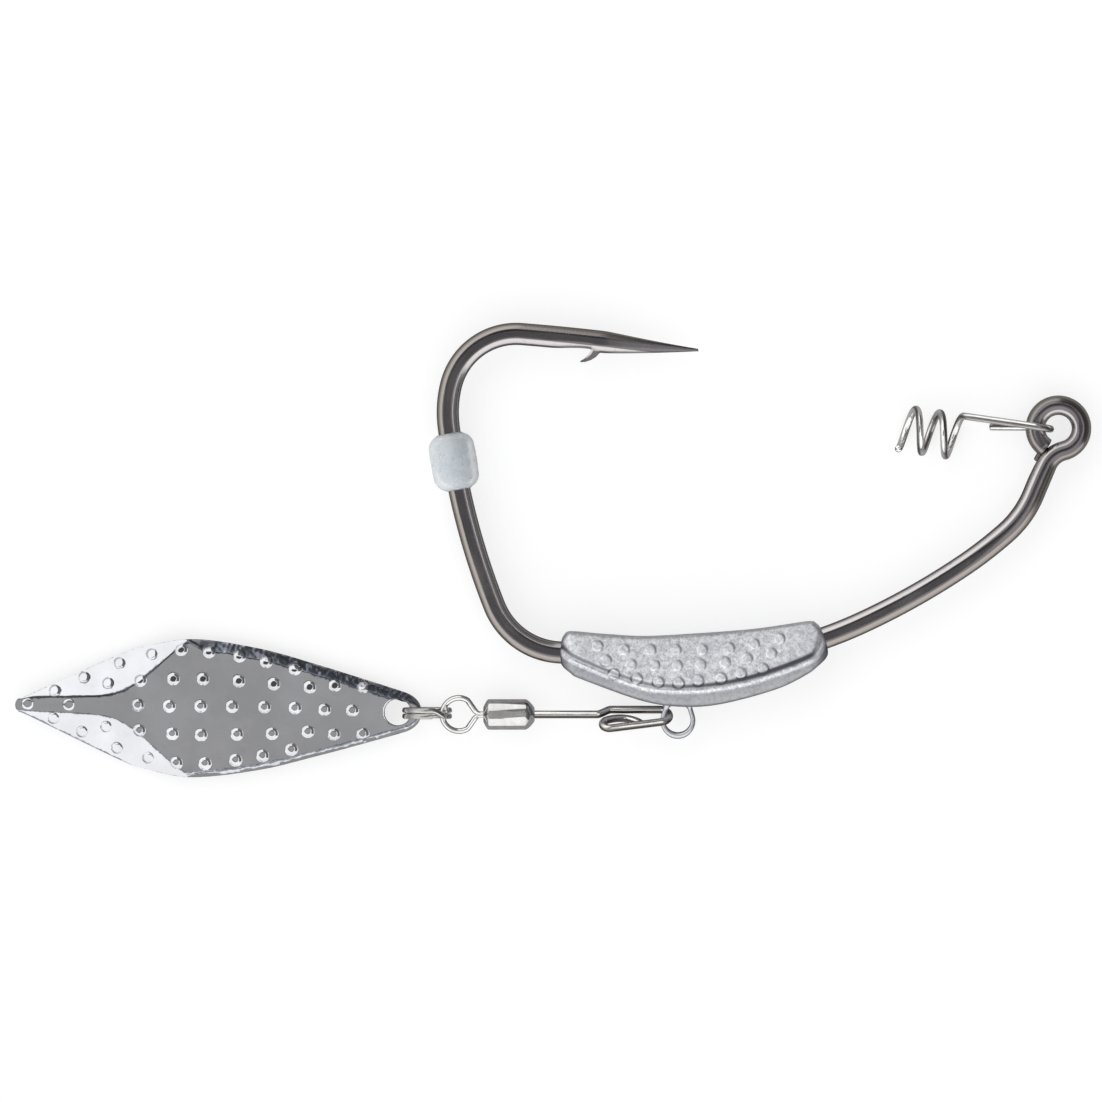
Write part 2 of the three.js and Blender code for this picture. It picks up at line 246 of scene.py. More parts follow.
def closeEnds(bm, rings, bulge, farBulge=None):
    closeEnd(bm, rings[0], -rings[0]["along"], bulge)
    closeEnd(bm, rings[-1], rings[-1]["along"], farBulge or bulge)


def spunShape(bm, profile, place, steps):
    # a closed or axis-to-axis profile of (radius, along) turned about the X axis of `place`
    verts = [bm.verts.new((along, radius, 0)) for radius, along in profile]
    edges = [bm.edges.new(pair) for pair in zip(verts, verts[1:])]
    if profile[0][0] > 0:
        edges.append(bm.edges.new((verts[-1], verts[0])))
    bmesh.ops.spin(bm, geom=verts + edges, cent=(0, 0, 0), axis=(1, 0, 0), dvec=(0, 0, 0),
                   angle=2 * pi, steps=steps, use_merge=True, use_duplicate=False)
    bmesh.ops.remove_doubles(bm, verts=bm.verts[:], dist=0.0004)
    moveVerts(bm, place, bm.verts[:])


def addPiece(bm, name, body, node, material, sharp=35):
    bmesh.ops.remove_doubles(bm, verts=bm.verts[:], dist=0.0004)
    bmesh.ops.recalc_face_normals(bm, faces=bm.faces[:])
    bmesh.ops.translate(bm, vec=frameShift, verts=bm.verts[:])
    bmesh.ops.scale(bm, vec=(mm, mm, mm), verts=bm.verts[:])
    mesh = bpy.data.meshes.new(name)
    bm.to_mesh(mesh)
    bm.free()
    mesh.shade_smooth()
    mesh.set_sharp_from_angle(angle=radians(sharp))
    mesh.materials.append(material)
    piece = newObject(name, mesh)
    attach(piece, body)
    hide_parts(node)
    print(name, "made:", len(mesh.polygons), "faces")


def plug(tree, entry, item):
    if isinstance(item, Amount):
        tree.links.new(item.socket, entry)
    elif entry.type == "RGBA":
        entry.default_value = (*item, 1)
    else:
        entry.default_value = item


class Amount:
    # a socket that works like a number: each operator adds a Math node
    def __init__(self, tree, socket):
        self.tree = tree
        self.socket = socket

    def math(self, operation, *others):
        node = self.tree.nodes.new("ShaderNodeMath")
        node.operation = operation
        for entry, item in zip(node.inputs, (self, *others)):
            plug(self.tree, entry, item)
        return Amount(self.tree, node.outputs[0])

    def __add__(self, other):
        return self.math("ADD", other)

    def __sub__(self, other):
        return self.math("SUBTRACT", other)

    def __mul__(self, other):
        return self.math("MULTIPLY", other)

    def __truediv__(self, other):
        return self.math("DIVIDE", other)

    def __rsub__(self, other):
        return (self * -1.0) + other

    __radd__ = __add__
    __rmul__ = __mul__

    def away(self):
        return self.math("ABSOLUTE")

    def atLeast(self, other):
        return self.math("MAXIMUM", other)


class Finish:
    # the nodes of a new material, or of the world
    def __init__(self, name, world=None):
        self.owner = world or bpy.data.materials.new(name)
        self.owner.use_nodes = True
        self.tree = self.owner.node_tree
        self.tree.nodes.clear()

    def node(self, kind, settings=None, sockets=None, output=0):
        # settings first, then the values or links of the sockets
        node = self.tree.nodes.new(kind)
        for key, value in (settings or {}).items():
            setattr(node, key, value)
        for key, value in (sockets or {}).items():
            plug(self.tree, node.inputs[key], value)
        return Amount(self.tree, node.outputs[output]) if len(node.outputs) else None

    def parts(self, vector):
        split = self.node("ShaderNodeSeparateXYZ", None, {"Vector": vector})
        return [Amount(self.tree, out) for out in split.socket.node.outputs]

    def stretch(self, place, scale, turn=0.0):
        # a smaller scale draws the pattern out along that axis; the turn is about Z
        return self.node("ShaderNodeMapping", None, {"Vector": place, "Scale": scale,
                                                     "Rotation": (0, 0, radians(turn))})

    def objectPlace(self, scale=(1, 1, 1), turn=0.0):
        return self.stretch(self.node("ShaderNodeTexCoord", None, None, "Object"), scale, turn)

    def wirePlace(self, scale=(1, 1, 1)):
        return self.stretch(self.mark("wirePlace", "Vector"), scale)

    def mark(self, name, output):
        return self.node("ShaderNodeAttribute", {"attribute_name": name}, None, output)

    def tone(self):
        # how much painted shade goes here: 1 in a corner, below 0 where a painted highlight goes
        return self.mark("tone", "Fac")

    def grain(self, place, size, detail=3, roughness=0.6):
        # noise from 0 to 1 whose features are about `size` millimetres
        return self.node("ShaderNodeTexNoise", None, {"Vector": place, "Scale": 1 / (size * mm),
                                                      "Detail": detail, "Roughness": roughness}, "Fac")

    def fade(self, value, low, high, start=0.0, end=1.0):
        return self.node("ShaderNodeMapRange", {"interpolation_type": "SMOOTHSTEP"},
                         {"Value": value, "From Min": low, "From Max": high, "To Min": start, "To Max": end})

    def tint(self, mask, colourA, colourB):
        return self.node("ShaderNodeMix", {"data_type": "RGBA"}, {0: mask, 6: colourA, 7: colourB}, 2)

    def lay(self, under, colour, mask, low, high, share=1.0):
        # covers a colour with another where the mask goes from low to high
        return self.tint(self.fade(mask, low, high, 0.0, share), under, colour)

    def bump(self, height, depth, strength, under=None):
        sockets = {"Height": height, "Distance": depth * mm, "Strength": strength}
        if under:
            sockets["Normal"] = under
        return self.node("ShaderNodeBump", None, sockets)

    def surface(self, colour, rough, normal, others=None):
        shader = self.node("ShaderNodeBsdfPrincipled", None, {
            "Base Color": colour, "Roughness": rough, "Normal": normal, **(others or {"Metallic": 1.0})})
        self.node("ShaderNodeOutputMaterial", None, {"Surface": shader})
        return self.owner


# drawn and plated wire: streaks run along it, and its sides carry painted shade and are rougher than its top
# and bottom
def wireFinish(name, radius, colour, shadedSideColour, shine, streak, sideShadeStart=0.72):
    finish = Finish(name)
    across = finish.parts(finish.wirePlace())[0]
    streaks = finish.grain(finish.wirePlace((1, 1, 0.05)), streak)
    patches = finish.grain(finish.wirePlace((1, 1, 0.4)), 1.1)
    side = finish.fade(across.away(), radius * sideShadeStart * mm, radius * mm)
    # painted shade: the sides are tinted toward the dark side colour
    plate = finish.tint(side, colour, shadedSideColour)
    plate = finish.lay(plate, (0.1728, 0.16, 0.1472), patches, 0.48, 0.72, 0.45)
    rough = finish.fade(streaks, 0.3, 0.8, shine, shine + 0.10) + side * 0.12
    return finish.surface(plate, rough, finish.bump(streaks, 0.010, 0.5))


def darkNickel():
    finish = Finish("smoked nickel")
    share = finish.parts(finish.wirePlace())[0] / (hook["width"] / 2 * mm)
    streaks = finish.grain(finish.wirePlace((1, 1, 0.04)), 0.20, 4, 0.65)
    patches = finish.grain(finish.wirePlace((1, 1, 0.3)), 2.0, 4)
    fine = finish.grain(finish.wirePlace((1, 1, 0.5)), 0.22, 3, 0.7)
    # the pressed flats keep the dark plating; the shoulders are painted lighter as a painted highlight,
    # brighter on the inner side and browner on the outer side
    shoulder = finish.fade(share.away() + streaks * 0.12, 0.44, 0.56)
    shoulderHighlight = finish.lay((0.60, 0.565, 0.56), (0.36, 0.325, 0.30), share, -0.2, 0.2)
    plate = finish.lay((0.150, 0.138, 0.145), (0.195, 0.182, 0.188), patches, 0.35, 0.7)
    plate = finish.tint(shoulder, plate, shoulderHighlight)
    # painted shade along the outer and the inner edge
    plate = finish.lay(plate, (0.085, 0.062, 0.048), share, 0.84, 0.99, 0.93)
    plate = finish.lay(plate, (0.050, 0.042, 0.042), share * -1.0, 0.80, 0.96, 0.93)
    plate = finish.lay(plate, (0.11, 0.10, 0.10), fine, 0.58, 0.76, 0.45)
    rough = finish.fade(streaks, 0.2, 0.8, 0.14, 0.24) + finish.fade(patches, 0.4, 0.8, 0.0, 0.05)
    lines = finish.bump(streaks, 0.008, 0.6)
    pits = finish.bump(finish.grain(finish.objectPlace(), 0.30, 3, 0.7), 0.008, 0.5, lines)
    return finish.surface(plate, rough, pits)


def castLead():
    finish = Finish("bright cast lead")
    place = finish.objectPlace()
    grainy = finish.grain(place, 0.42, 5, 0.85)
    coarse = finish.grain(place, 1.5, 4, 0.65)
    wide = finish.grain(place, 6.0, 3, 0.5)
    cells = finish.node("ShaderNodeTexVoronoi", None, {"Vector": place, "Scale": 1 / (0.34 * mm)}, "Distance")
    flecks = finish.fade(cells, 0.10, 0.30, 0.5, 0.0)
    tone = finish.tone()
    metal = finish.lay((0.48, 0.49, 0.52), (0.98, 0.985, 0.99), grainy, 0.36, 0.64)
    metal = finish.lay(metal, (0.50, 0.50, 0.555), wide, 0.4, 0.7, 0.3)
    metal = finish.tint(flecks, metal, (0.92, 0.93, 0.95))
    metal = finish.lay(metal, (0.30, 0.30, 0.32), coarse, 0.60, 0.74, 0.35)
    # painted shade in the groove, toward the ends, along the outline and round the pip feet, and darker on
    # the keel
    metal = finish.lay(metal, (0.10, 0.095, 0.115), tone + (grainy - 0.5) * 0.5, 0.02, 1.0)
    # painted highlight where the tone falls below 0: the crest bead and the pip tops
    metal = finish.lay(metal, (0.95, 0.955, 0.96), tone * -1.0, 0.0, 1.0)
    rough = finish.fade(grainy, 0.3, 0.7, 0.46, 0.32) + finish.fade(coarse, 0.5, 0.8, 0.0, 0.12)
    skin = finish.bump(coarse, 0.05, 0.5)
    skin = finish.bump(grainy, 0.045, 0.9, skin)
    return finish.surface(metal, rough, skin, {"Metallic": 0.85})


def cloudySilicone():
    finish = Finish("cloudy silicone")
    place = finish.objectPlace((1, 1, 1), -10)
    cloud = finish.grain(place, 1.8, 4)
    scratch = finish.grain(finish.stretch(place, (0.10, 1, 0.5)), 0.20)
    combed = finish.grain(finish.stretch(place, (1, 0.12, 0.6)), 0.22)
    lines = finish.fade(scratch, 0.54, 0.66) * finish.fade(cloud, 0.44, 0.58)
    combs = finish.fade(combed, 0.56, 0.68) * finish.fade(cloud, 0.52, 0.40)
    milk = finish.lay((0.74, 0.80, 0.84), (0.84, 0.885, 0.915), cloud, 0.3, 0.7)
    milk = finish.tint(lines * 0.8, milk, (0.93, 0.95, 0.97))
    milk = finish.tint(combs * 0.5, milk, (0.90, 0.92, 0.95))
    rough = finish.fade(cloud, 0.3, 0.7, 0.22, 0.34) + lines * 0.2
    skin = finish.bump(cloud, 0.05, 0.35)
    skin = finish.bump(scratch + combed * 0.6, 0.03, 0.5, skin)
    return finish.surface(milk, rough, skin, {
        "IOR": 1.41, "Transmission Weight": 0.38, "Subsurface Weight": 0.4,
        "Subsurface Radius": (1.0, 1.0, 1.0), "Subsurface Scale": 0.001})


def mirrorNickel():
    finish = Finish("hammered mirror nickel")
    place = finish.objectPlace()
    blotch = finish.grain(place, 1.3, 5, 0.7)
    soft = finish.grain(place, 7.0, 4)
    fine = finish.grain(place, 0.35, 4, 0.7)
    tone = finish.tone()
    brushed = finish.grain(finish.objectPlace((0.10, 1, 1), 14), 0.25)
    plate = finish.lay((0.64, 0.64, 0.66), (0.72, 0.72, 0.745), soft, 0.35, 0.65)
    plate = finish.lay(plate, (0.58, 0.57, 0.595), blotch, 0.54, 0.70, 0.40)
    plate = finish.lay(plate, (0.50, 0.48, 0.49), fine, 0.66, 0.76, 0.4)
    # painted shade and painted dark reflection along the rolled rim, the creases, the outline, the bump feet
    # and round the hole, broken into blotches; the lower edge near the tip is darker too
    spread = tone + (blotch - 0.5) * 1.5 + (fine - 0.5) * 0.9
    paintedShade = finish.fade(spread, 0.35, 0.75) * finish.fade(tone, 0.05, 0.3)
    plate = finish.tint(paintedShade, plate, (0.20, 0.215, 0.25))
    rough = finish.fade(blotch, 0.35, 0.75, 0.05, 0.09) + paintedShade * 0.15
    rough += finish.fade(brushed, 0.5, 0.8, 0.0, 0.03)
    skin = finish.bump(soft, 0.01, 0.25)
    skin = finish.bump(blotch, 0.004, 0.35, skin)
    skin = finish.bump(brushed, 0.0016, 0.5, skin)
    return finish.surface(plate, rough, skin)


def turnedNickel():
    finish = Finish("plated barrel")
    lathe = finish.grain(finish.objectPlace((1, 0.08, 0.08)), 0.12)
    lengthwise = finish.grain(finish.objectPlace((0.08, 1, 1)), 0.16)
    patches = finish.grain(finish.objectPlace(), 0.9)
    plate = finish.lay((0.62, 0.61, 0.60), (0.74, 0.73, 0.72), patches, 0.35, 0.7)
    plate = finish.lay(plate, (0.36, 0.34, 0.33), lengthwise, 0.56, 0.74, 0.35)
    # painted shade in the bore and toward both ends, broken by the patches
    plate = finish.lay(plate, (0.10, 0.085, 0.075), finish.tone() + (patches - 0.5) * 0.6, 0.2, 0.9)
    rough = finish.fade(lengthwise, 0.3, 0.75, 0.07, 0.17)
    marks = finish.bump(lathe, 0.004, 0.4)
    marks = finish.bump(lengthwise, 0.0015, 0.4, marks)
    return finish.surface(plate, rough, marks)


# hook: round eye, forged shank and bends, hollow-ground point and a lifted barb
hook = {
    "width": 2.48, "depth": 1.92, "eyeWire": 2.18, "eyeDepth": 2.1, "level": 2.9,
    "eye": (56.3, 13.6), "hole": 2.96, "tagAngle": 236, "wrap": 312.5,
    "eyeBend": (2.54, 50.5),
    "shank": [(3.5, 4), (5.4, -26.5), (5.9, -7.5), (12.8, -9), (29.5, -34), (5.4, 4.5)],
    "rest": [(9.2, -64), (20.7, -14.5), (4.6, -21), (10.5, -80.5), (8.9, -2)],
    "point": 10.8, "pointRise": 0.3, "forgedFrom": (24, 33),
    # the forged section from its side to its middle, as shares of half its width and depth
    "forged": [(1.0, 0.0), (0.985, 0.30), (0.93, 0.54), (0.80, 0.75), (0.63, 0.90), (0.42, 1.0),
               (0.21, 1.0), (0.0, 1.0)],
    "barbAt": -1.15, "barbWidth": 0.9, "scoop": 0.24,
    "barbPulls": [(0.22, 0.42, 0.80), (0.38, 0.40, 0.72), (0.46, 0.32, 0.62), (0.44, 0.18, 0.45)],
    # how far along the wire it widens, flattens, and stops being pinched at the tag
    "widens": (14, 19), "flattens": (16, 30), "unpinched": (2.2, 4.5), "sides": 28, "step": 0.36,
    "nub": [(54.55, 11.15), (54.1, 10.6), (53.85, 10.15)], "nubRadius": 0.3,
}


def makeHook():
    bm = newMesh()
    ringRadius = (hook["hole"] + hook["eyeWire"]) / 2
    tagTurn = radians(hook["tagAngle"])
    start = Vector((hook["eye"][0] + ringRadius * cos(tagTurn),
                    hook["eye"][1] + ringRadius * sin(tagTurn), hook["level"]))
    heading = Vector((cos(tagTurn - pi / 2), sin(tagTurn - pi / 2), 0))
    eyeTurn = (ringRadius * radians(hook["wrap"]), -hook["wrap"])
    bends = [eyeTurn, hook["eyeBend"], *hook["shank"], *hook["rest"], (hook["point"], 0)]
    route = bendRoute(start, heading, bends, hook["step"])
    rings = layWire(bm, route, 1, hook["sides"])
    pointStart = rings[-1]["station"] - hook["point"]
    barbRoot = pointStart + hook["barbAt"]
    quarter = hook["sides"] // 4

    def section(station, angle):
        wide = between(hook["eyeWire"], hook["width"], smoothStep(station, *hook["widens"])) / 2
        deep = between(hook["eyeDepth"], hook["depth"], smoothStep(station, *hook["flattens"])) / 2
        forged = smoothStep(station, *hook["forgedFrom"])
        corner = round(angle / (pi / 2) * quarter) % (2 * quarter)
        pressed = hook["forged"][min(corner, 2 * quarter - corner)]
        across = between(abs(cos(angle)), pressed[0], forged) * copysign(1, cos(angle))
        high = between(abs(sin(angle)), pressed[1], forged) * copysign(1, sin(angle))
        # the tag of the eye is pinched to two flats with a groove between them
        pinched = 1 - smoothStep(station, *hook["unpinched"])
        high *= 1 - 0.16 * pinched * (1 - min(abs(across) / 0.4, 1))
        gone = max((station - pointStart) / hook["point"], 0)
        slim = 1 - 0.94 * smoothBelow(gone)
        # the cut that raises the barb leaves the inner side hollow behind it
        if across < 0 and station < barbRoot + 0.3:
            across *= 1 - hook["scoop"] * smoothStep(station, barbRoot - 4.5, barbRoot - 0.5)
        return across * wide * slim, high * deep * slim

    shapeWire(bm, rings, section)
    for ring in rings:
        gone = max((ring["station"] - pointStart) / hook["point"], 0)
        for vert in ring["verts"]:
            vert.co += ring["side"] * hook["pointRise"] * gone * gone
    markWire(bm, rings)
    closeEnds(bm, rings, 0.2, 0.08)
    raiseBarb(bm, rings, barbRoot)
    nub = [Vector((x, y, hook["level"])) for x, y in hook["nub"]]
    nubRings = layWire(bm, spaced(smoothLine(nub, 6), 6), hook["nubRadius"], 14)
    markWire(bm, nubRings)
    closeEnds(bm, nubRings, 0.2)
    addPiece(bm, "forged_hook", "hook", "hook", darkNickel(), 50)


def smoothBelow(gone):
    # a straight taper that starts softly
    return gone - 0.06 * (1 - exp(-gone / 0.06)) if gone > 0 else 0


def raiseBarb(bm, rings, barbRoot):
    # a few faces on the inner side are pulled back into a curved sliver
    half = hook["sides"] // 2
    chosen = set()
    at = rings[0]
    for ring, following in zip(rings, rings[1:]):
        if barbRoot < ring["station"] < barbRoot + hook["barbWidth"]:
            corner = {ring["verts"][half + n] for n in (-2, -1, 0, 1, 2)}
            corner |= {following["verts"][half + n] for n in (-2, -1, 0, 1, 2)}
            chosen |= {face for vert in corner for face in vert.link_faces
                       if all(item in corner for item in face.verts)}
            at = ring
    faces = list(chosen)
    for back, out, narrow in hook["barbPulls"]:
        made = bmesh.ops.extrude_face_region(bm, geom=faces)["geom"]
        bmesh.ops.delete(bm, geom=faces, context="FACES_ONLY")
        verts, faces = only(made, BMVert), only(made, BMFace)
        bmesh.ops.translate(bm, vec=-at["along"] * back - at["side"] * out, verts=verts)
        centre = sum((vert.co for vert in verts), Vector()) / len(verts)
        turn = Matrix.Rotation(radians(-16), 4, at["up"])
        move = Matrix.Translation(centre) @ turn @ Matrix.Scale(narrow, 4) @ Matrix.Translation(-centre)
        moveVerts(bm, move, verts)


# belly weight: a cast slab with a stepped keel and rows of raised pips on both faces
weight = {
    "top": [(1.5, -9.15), (2.3, -8.98), (6.1, -9.3), (11.5, -9.5), (21.7, -8.8), (28.2, -7.9), (29.2, -8.0)],
    "right": [(29.6, -12.75), (30.35, -12.0), (30.6, -11.2), (30.2, -9.6), (29.7, -8.5), (29.2, -8.0)],
    "bottom": [(2.1, -13.7), (3.2, -14.3), (10, -16.7), (14.6, -17.35), (19, -17.0), (24.9, -15.4),
               (28.3, -13.75), (29.6, -12.75)],
    "left": [(2.1, -13.7), (1.15, -12.85), (0.88, -11.9), (0.9, -10.8), (1.1, -9.8), (1.5, -9.15)],
    "face": 2.72, "shoulder": 0.5, "wall": 1.5, "level": 2.9,
    "crest": [(-0.5, -10.2), (0.9, -11.1), (1.9, -11.95), (3.66, -12.79), (7.29, -14.24), (10.89, -15.3),
              (15.3, -15.5), (19.56, -15.03), (23.81, -13.96), (28.6, -12.15), (29.6, -11.2), (30.2, -9.8)],
    "crestLevel": 2.11, "slope": 0.80, "pip": 0.64, "pipHeight": 0.16, "highest": 2.88,
    "endsAt": (0.9, 30.5), "middle": (15.5, -12.4, 0),
    "columns": 230, "rows": 66,
}
weightPips = [
    (4.96, -10.61), (7.9, -11.0), (10.85, -11.04), (13.64, -11.04), (16.55, -11.0), (19.56, -10.82),
    (22.32, -10.35), (25.14, -9.81), (5.89, -12.2), (8.68, -12.66), (11.27, -12.79), (13.79, -12.79),
    (16.41, -12.68), (19.1, -12.42), (21.56, -11.99), (24.22, -11.41), (6.8, -13.75), (9.35, -14.23),
    (11.72, -14.6), (13.98, -14.71), (16.15, -14.44), (18.68, -14.2), (20.88, -13.64), (23.33, -13.12),
]


def flatLine(points, count):
    return spaced(smoothLine([(x, y, 0) for x, y in points], 24), count)


def pointTree(points):
    tree = kdtree.KDTree(len(points))
    for n, point in enumerate(points):
        tree.insert(point, n)
    tree.balance()
    return tree


def makeWeight():
    bm = newMesh()
    columns, rows = weight["columns"], weight["rows"]
    top, bottom = flatLine(weight["top"], columns), flatLine(weight["bottom"], columns)
    left, right = flatLine(weight["left"], rows), flatLine(weight["right"], rows)
    rim = pointTree(top + bottom + left + right)
    crest = flatLine(weight["crest"], 160)
    crestTree = pointTree(crest)
    shadeTones = bm.verts.layers.float["tone"]
    bmesh.ops.create_grid(bm, x_segments=columns, y_segments=rows, size=0.5)
    for vert in bm.verts:
        over, up = vert.co.x + 0.5, vert.co.y + 0.5
        column, row = round(over * columns), round(up * rows)
        place = bottom[column] * (1 - up) + top[column] * up + left[row] * (1 - over) + right[row] * over
        place -= (bottom[0] * (1 - over) * (1 - up) + bottom[-1] * over * (1 - up)
                  + top[0] * (1 - over) * up + top[-1] * over * up)
        rimGap = rim.find(place)[2]
        spot, index, crestGap = crestTree.find(place)
        ahead = crest[min(index + 1, len(crest) - 1)] - crest[max(index - 1, 0)]
        above = crestGap if ahead.cross(place - spot).z > 0 else -crestGap
        wobble = 0.05 * roughNoise(place, 1.2, 2.0)
        step = smoothStep(above + wobble, 0.10, weight["slope"])
        level = between(weight["crestLevel"], weight["face"], step)
        crestBead = bell(above + 0.05, 0.17)
        level += 0.15 * crestBead
        if above < 0:
            level -= 0.10 * above * above
        # painted shade where the slope meets the crest, most so toward the right end; a painted highlight on
        # the crest bead; darker on the keel
        tone = 0.95 * bell(above - 0.42, 0.38) * between(0.6, 1.2, smoothStep(place.x, 8, 27))
        tone *= 1 - smoothStep(place.x, 28.4, 29.8)
        tone -= 0.45 * crestBead
        tone += 0.52 * smoothStep(-above, 0.15, 0.6)
        ends = min(place.x - weight["endsAt"][0], weight["endsAt"][1] - place.x)
        # painted shade toward both ends
        tone += 0.25 * (1 - smoothStep(ends, 0.1, 1.3))
        level -= 0.35 * (1 - smoothStep(ends, 0.0, 1.7))
        shoulder = min(rimGap / weight["shoulder"], 1)
        keep = 1 - sqrt(max(1 - (1 - shoulder) ** 2, 0))
        level -= (level - weight["wall"]) * keep
        # painted shade along the outline
        tone += 0.16 * max(1 - rimGap / 0.25, 0)
        for pip in weightPips:
            gap = (place - Vector((*pip, 0))).length
            if gap < weight["pip"] + 0.25:
                low = 1 - smoothStep(gap, weight["pip"] - 0.12, weight["pip"] + 0.02)
                level += weight["pipHeight"] * low
                # painted shade round each pip's foot and a painted highlight on its top
                edge = bell(gap - weight["pip"], 0.085)
                tone += 0.5 * edge - 0.22 * low
        level += 0.018 * roughNoise(place, 0.5, 5.0) * min(rimGap * 2, 1)
        vert.co = (place.x, place.y, min(level, weight["highest"]))
        vert[shadeTones] = tone
    edges = [edge for edge in bm.edges if edge.is_boundary]
    for wall, flare in ((0.06, 0), (0, 0.05)):
        verts, edges = pullEdges(bm, edges)
        for vert in verts:
            vert.co.z = wall
            vert.co += (vert.co - Vector(weight["middle"])).normalized() * flare
    bmesh.ops.mirror(bm, geom=bm.verts[:] + bm.edges[:] + bm.faces[:], axis="Z", merge_dist=0.0005)
    bmesh.ops.translate(bm, vec=(0, 0, weight["level"]), verts=bm.verts[:])
    addPiece(bm, "cast_weight", "hook", "belly_weight", castLead(), 60)


# hanger: a wire bow whose feet are cast into the weight
hanger = {"x": 13.95, "y": -18.9, "radius": 1.68, "wire": 0.27, "belly": 0.37, "foot": 0.52,
          "level": 2.9, "fromAngle": 163, "leg": 1.45}


def makeHanger():
    bm = newMesh()
    angle = radians(hanger["fromAngle"])
    start = Vector((hanger["x"] + hanger["radius"] * cos(angle),
                    hanger["y"] + hanger["radius"] * sin(angle), hanger["level"]))
    sweep = 360 - 2 * (hanger["fromAngle"] - 90)
    heading = Vector((-sin(angle), cos(angle), 0))
    bends = [(hanger["leg"], 0), (hanger["radius"] * radians(sweep), sweep), (hanger["leg"], 0)]
    length = sum(run for run, turn in bends)
    rings = layWire(bm, bendRoute(start - heading * hanger["leg"], heading, bends, 0.14), 1, 20)

    def section(station, turn):
        away = abs(station / length - 0.5) * 2
        thick = between(hanger["belly"], hanger["wire"], smoothStep(away, 0.05, 0.6))
        thick = between(thick, hanger["foot"], smoothStep(away, 0.86, 1.0))
        return thick * cos(turn), thick * sin(turn) * 0.97

    shapeWire(bm, rings, section)
    markWire(bm, rings)
    closeEnds(bm, rings, 0.1)
    dull = wireFinish("dull bow wire", 0.36, (0.60, 0.61, 0.63), (0.16, 0.16, 0.17), 0.26, 0.14)
    addPiece(bm, "cast_in_bow", "hook", "weight_hanger", dull)


# stopper bead: a soft sleeve on the back leg
bead = {"radius": 2.58, "length": 6.3, "corner": 1.6, "bore": 1.28, "heading": 99.8, "crown": 0.16}


def makeBead():
    bm = newMesh()
    low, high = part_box("stopper_bead")
    centre = (low + high) / 2 / mm - frameShift
    half = bead["length"] / 2
    profile = [(bead["bore"] + 0.22, -half), (bead["bore"] + 0.04, -half + 0.2), (bead["bore"], -half + 0.5)]
    profile += [(bead["bore"], along) for along in (-1.5, 0, 1.5)]
    profile += [(bead["bore"], half - 0.5), (bead["bore"] + 0.04, half - 0.2), (bead["bore"] + 0.22, half)]
    flatEnd = bead["radius"] - bead["corner"]
    for end in (1, -1):
        for n in range(9)[::end]:
            turn = pi / 2 * n / 8
            radius = flatEnd + bead["corner"] * sin(turn)
            along = end * (half - bead["corner"] * 0.9 * (1 - cos(turn)))
            profile.append((radius - bead["crown"] * (along / half) ** 2 * sin(turn), along))
        if end > 0:
            profile += [(bead["radius"] - bead["crown"] * share * share, share * half)
                        for share in (0.3, 0, -0.3)]
    turn = Matrix.Rotation(radians(bead["heading"]), 4, "Z")
    spunShape(bm, profile, Matrix.Translation(centre) @ turn, 72)
    for vert in bm.verts:
        outward = vert.co - centre
        if outward.length > 1.6:
            vert.co += outward.normalized() * 0.05 * roughNoise(vert.co, 2.6, 1.0)
    addPiece(bm, "silicone_sleeve", "bead", "stopper_bead", cloudySilicone(), 60)


# keeper: a screw of wire on an arm that hooks through the eye
keeper = {
    "wire": 0.405, "tilt": -8.4, "side": -0.2, "coilRadius": 2.34, "pitch": 2.67, "turns": 2.48,
    "coilEnd": -10.65, "elbowRadius": 0.5, "arm": [(1.2, 0.66), (3.4, 0.98), (5.8, 1.4)],
    "hookRadius": 1.68, "hookCentre": -2.55, "tail": [(-4.9, -0.55, -1.54), (-7.4, -0.9, -1.4)],
}


def makeKeeper():
    bm = newMesh()
    points = []
    turned = keeper["turns"] * 360
    coilLength = keeper["turns"] * keeper["pitch"]
    coilSteps = 64
    coilTop = keeper["coilEnd"]
    for n in range(coilSteps + 1):
        share = n / coilSteps
        angle = radians(turned * (share - 1))
        points.append(Vector((coilTop - coilLength * (1 - share),
                              keeper["side"] - keeper["coilRadius"] * (1 - cos(angle)),
                              keeper["coilRadius"] * sin(angle))))
    # the coil's last turn bends straight into the arm
    bend = keeper["elbowRadius"]
    elbow = [Vector((coilTop + bend * (1 - cos(radians(turn))), keeper["side"], bend * sin(radians(turn))))
             for turn in (15, 35, 55, 75)]
    bow = []
    for n in range(25):
        angle = pi * (0.5 - n / 24)
        bow.append(Vector((keeper["hookCentre"] + keeper["hookRadius"] * cos(angle), keeper["side"],
                           keeper["hookRadius"] * sin(angle))))
    arm = [Vector((coilTop + x, keeper["side"], z)) for x, z in keeper["arm"]]
    arm = smoothLine([*elbow[-2:], *arm, *bow[:2]], 8)[8:-8]
    line = points + elbow[:-1] + arm[:-1] + bow[:-1] + smoothLine([bow[-1], *keeper["tail"]], 6)
    place = Matrix.Translation(drawnEye) @ Matrix.Rotation(radians(keeper["tilt"]), 4, "Z")
    route = [place @ point for point in spaced(line, 300)]
    rings = layWire(bm, route, keeper["wire"], 18, (0, 1, 0.3))
    markWire(bm, rings)
    closeEnds(bm, rings, 0.16)
    bright = wireFinish("bright spring steel", 0.405, (0.98, 0.97, 0.95), (0.17, 0.155, 0.15), 0.1, 0.1, 0.78)
    addPiece(bm, "screw_keeper", "keeper", "bait_keeper", bright)


# swivel barrel: a turned tube with twelve pressed flats
barrel = {
    "at": (-7.7, -18.25, 2.5), "length": 5.7, "radius": 1.76, "flats": 12, "flatAt": 1.69,
    "eyeEnd": 0.92, "clipEnd": 0.78, "eyeCone": 0.72, "clipCone": 1.22, "bore": 0.6, "recess": 0.6,
}


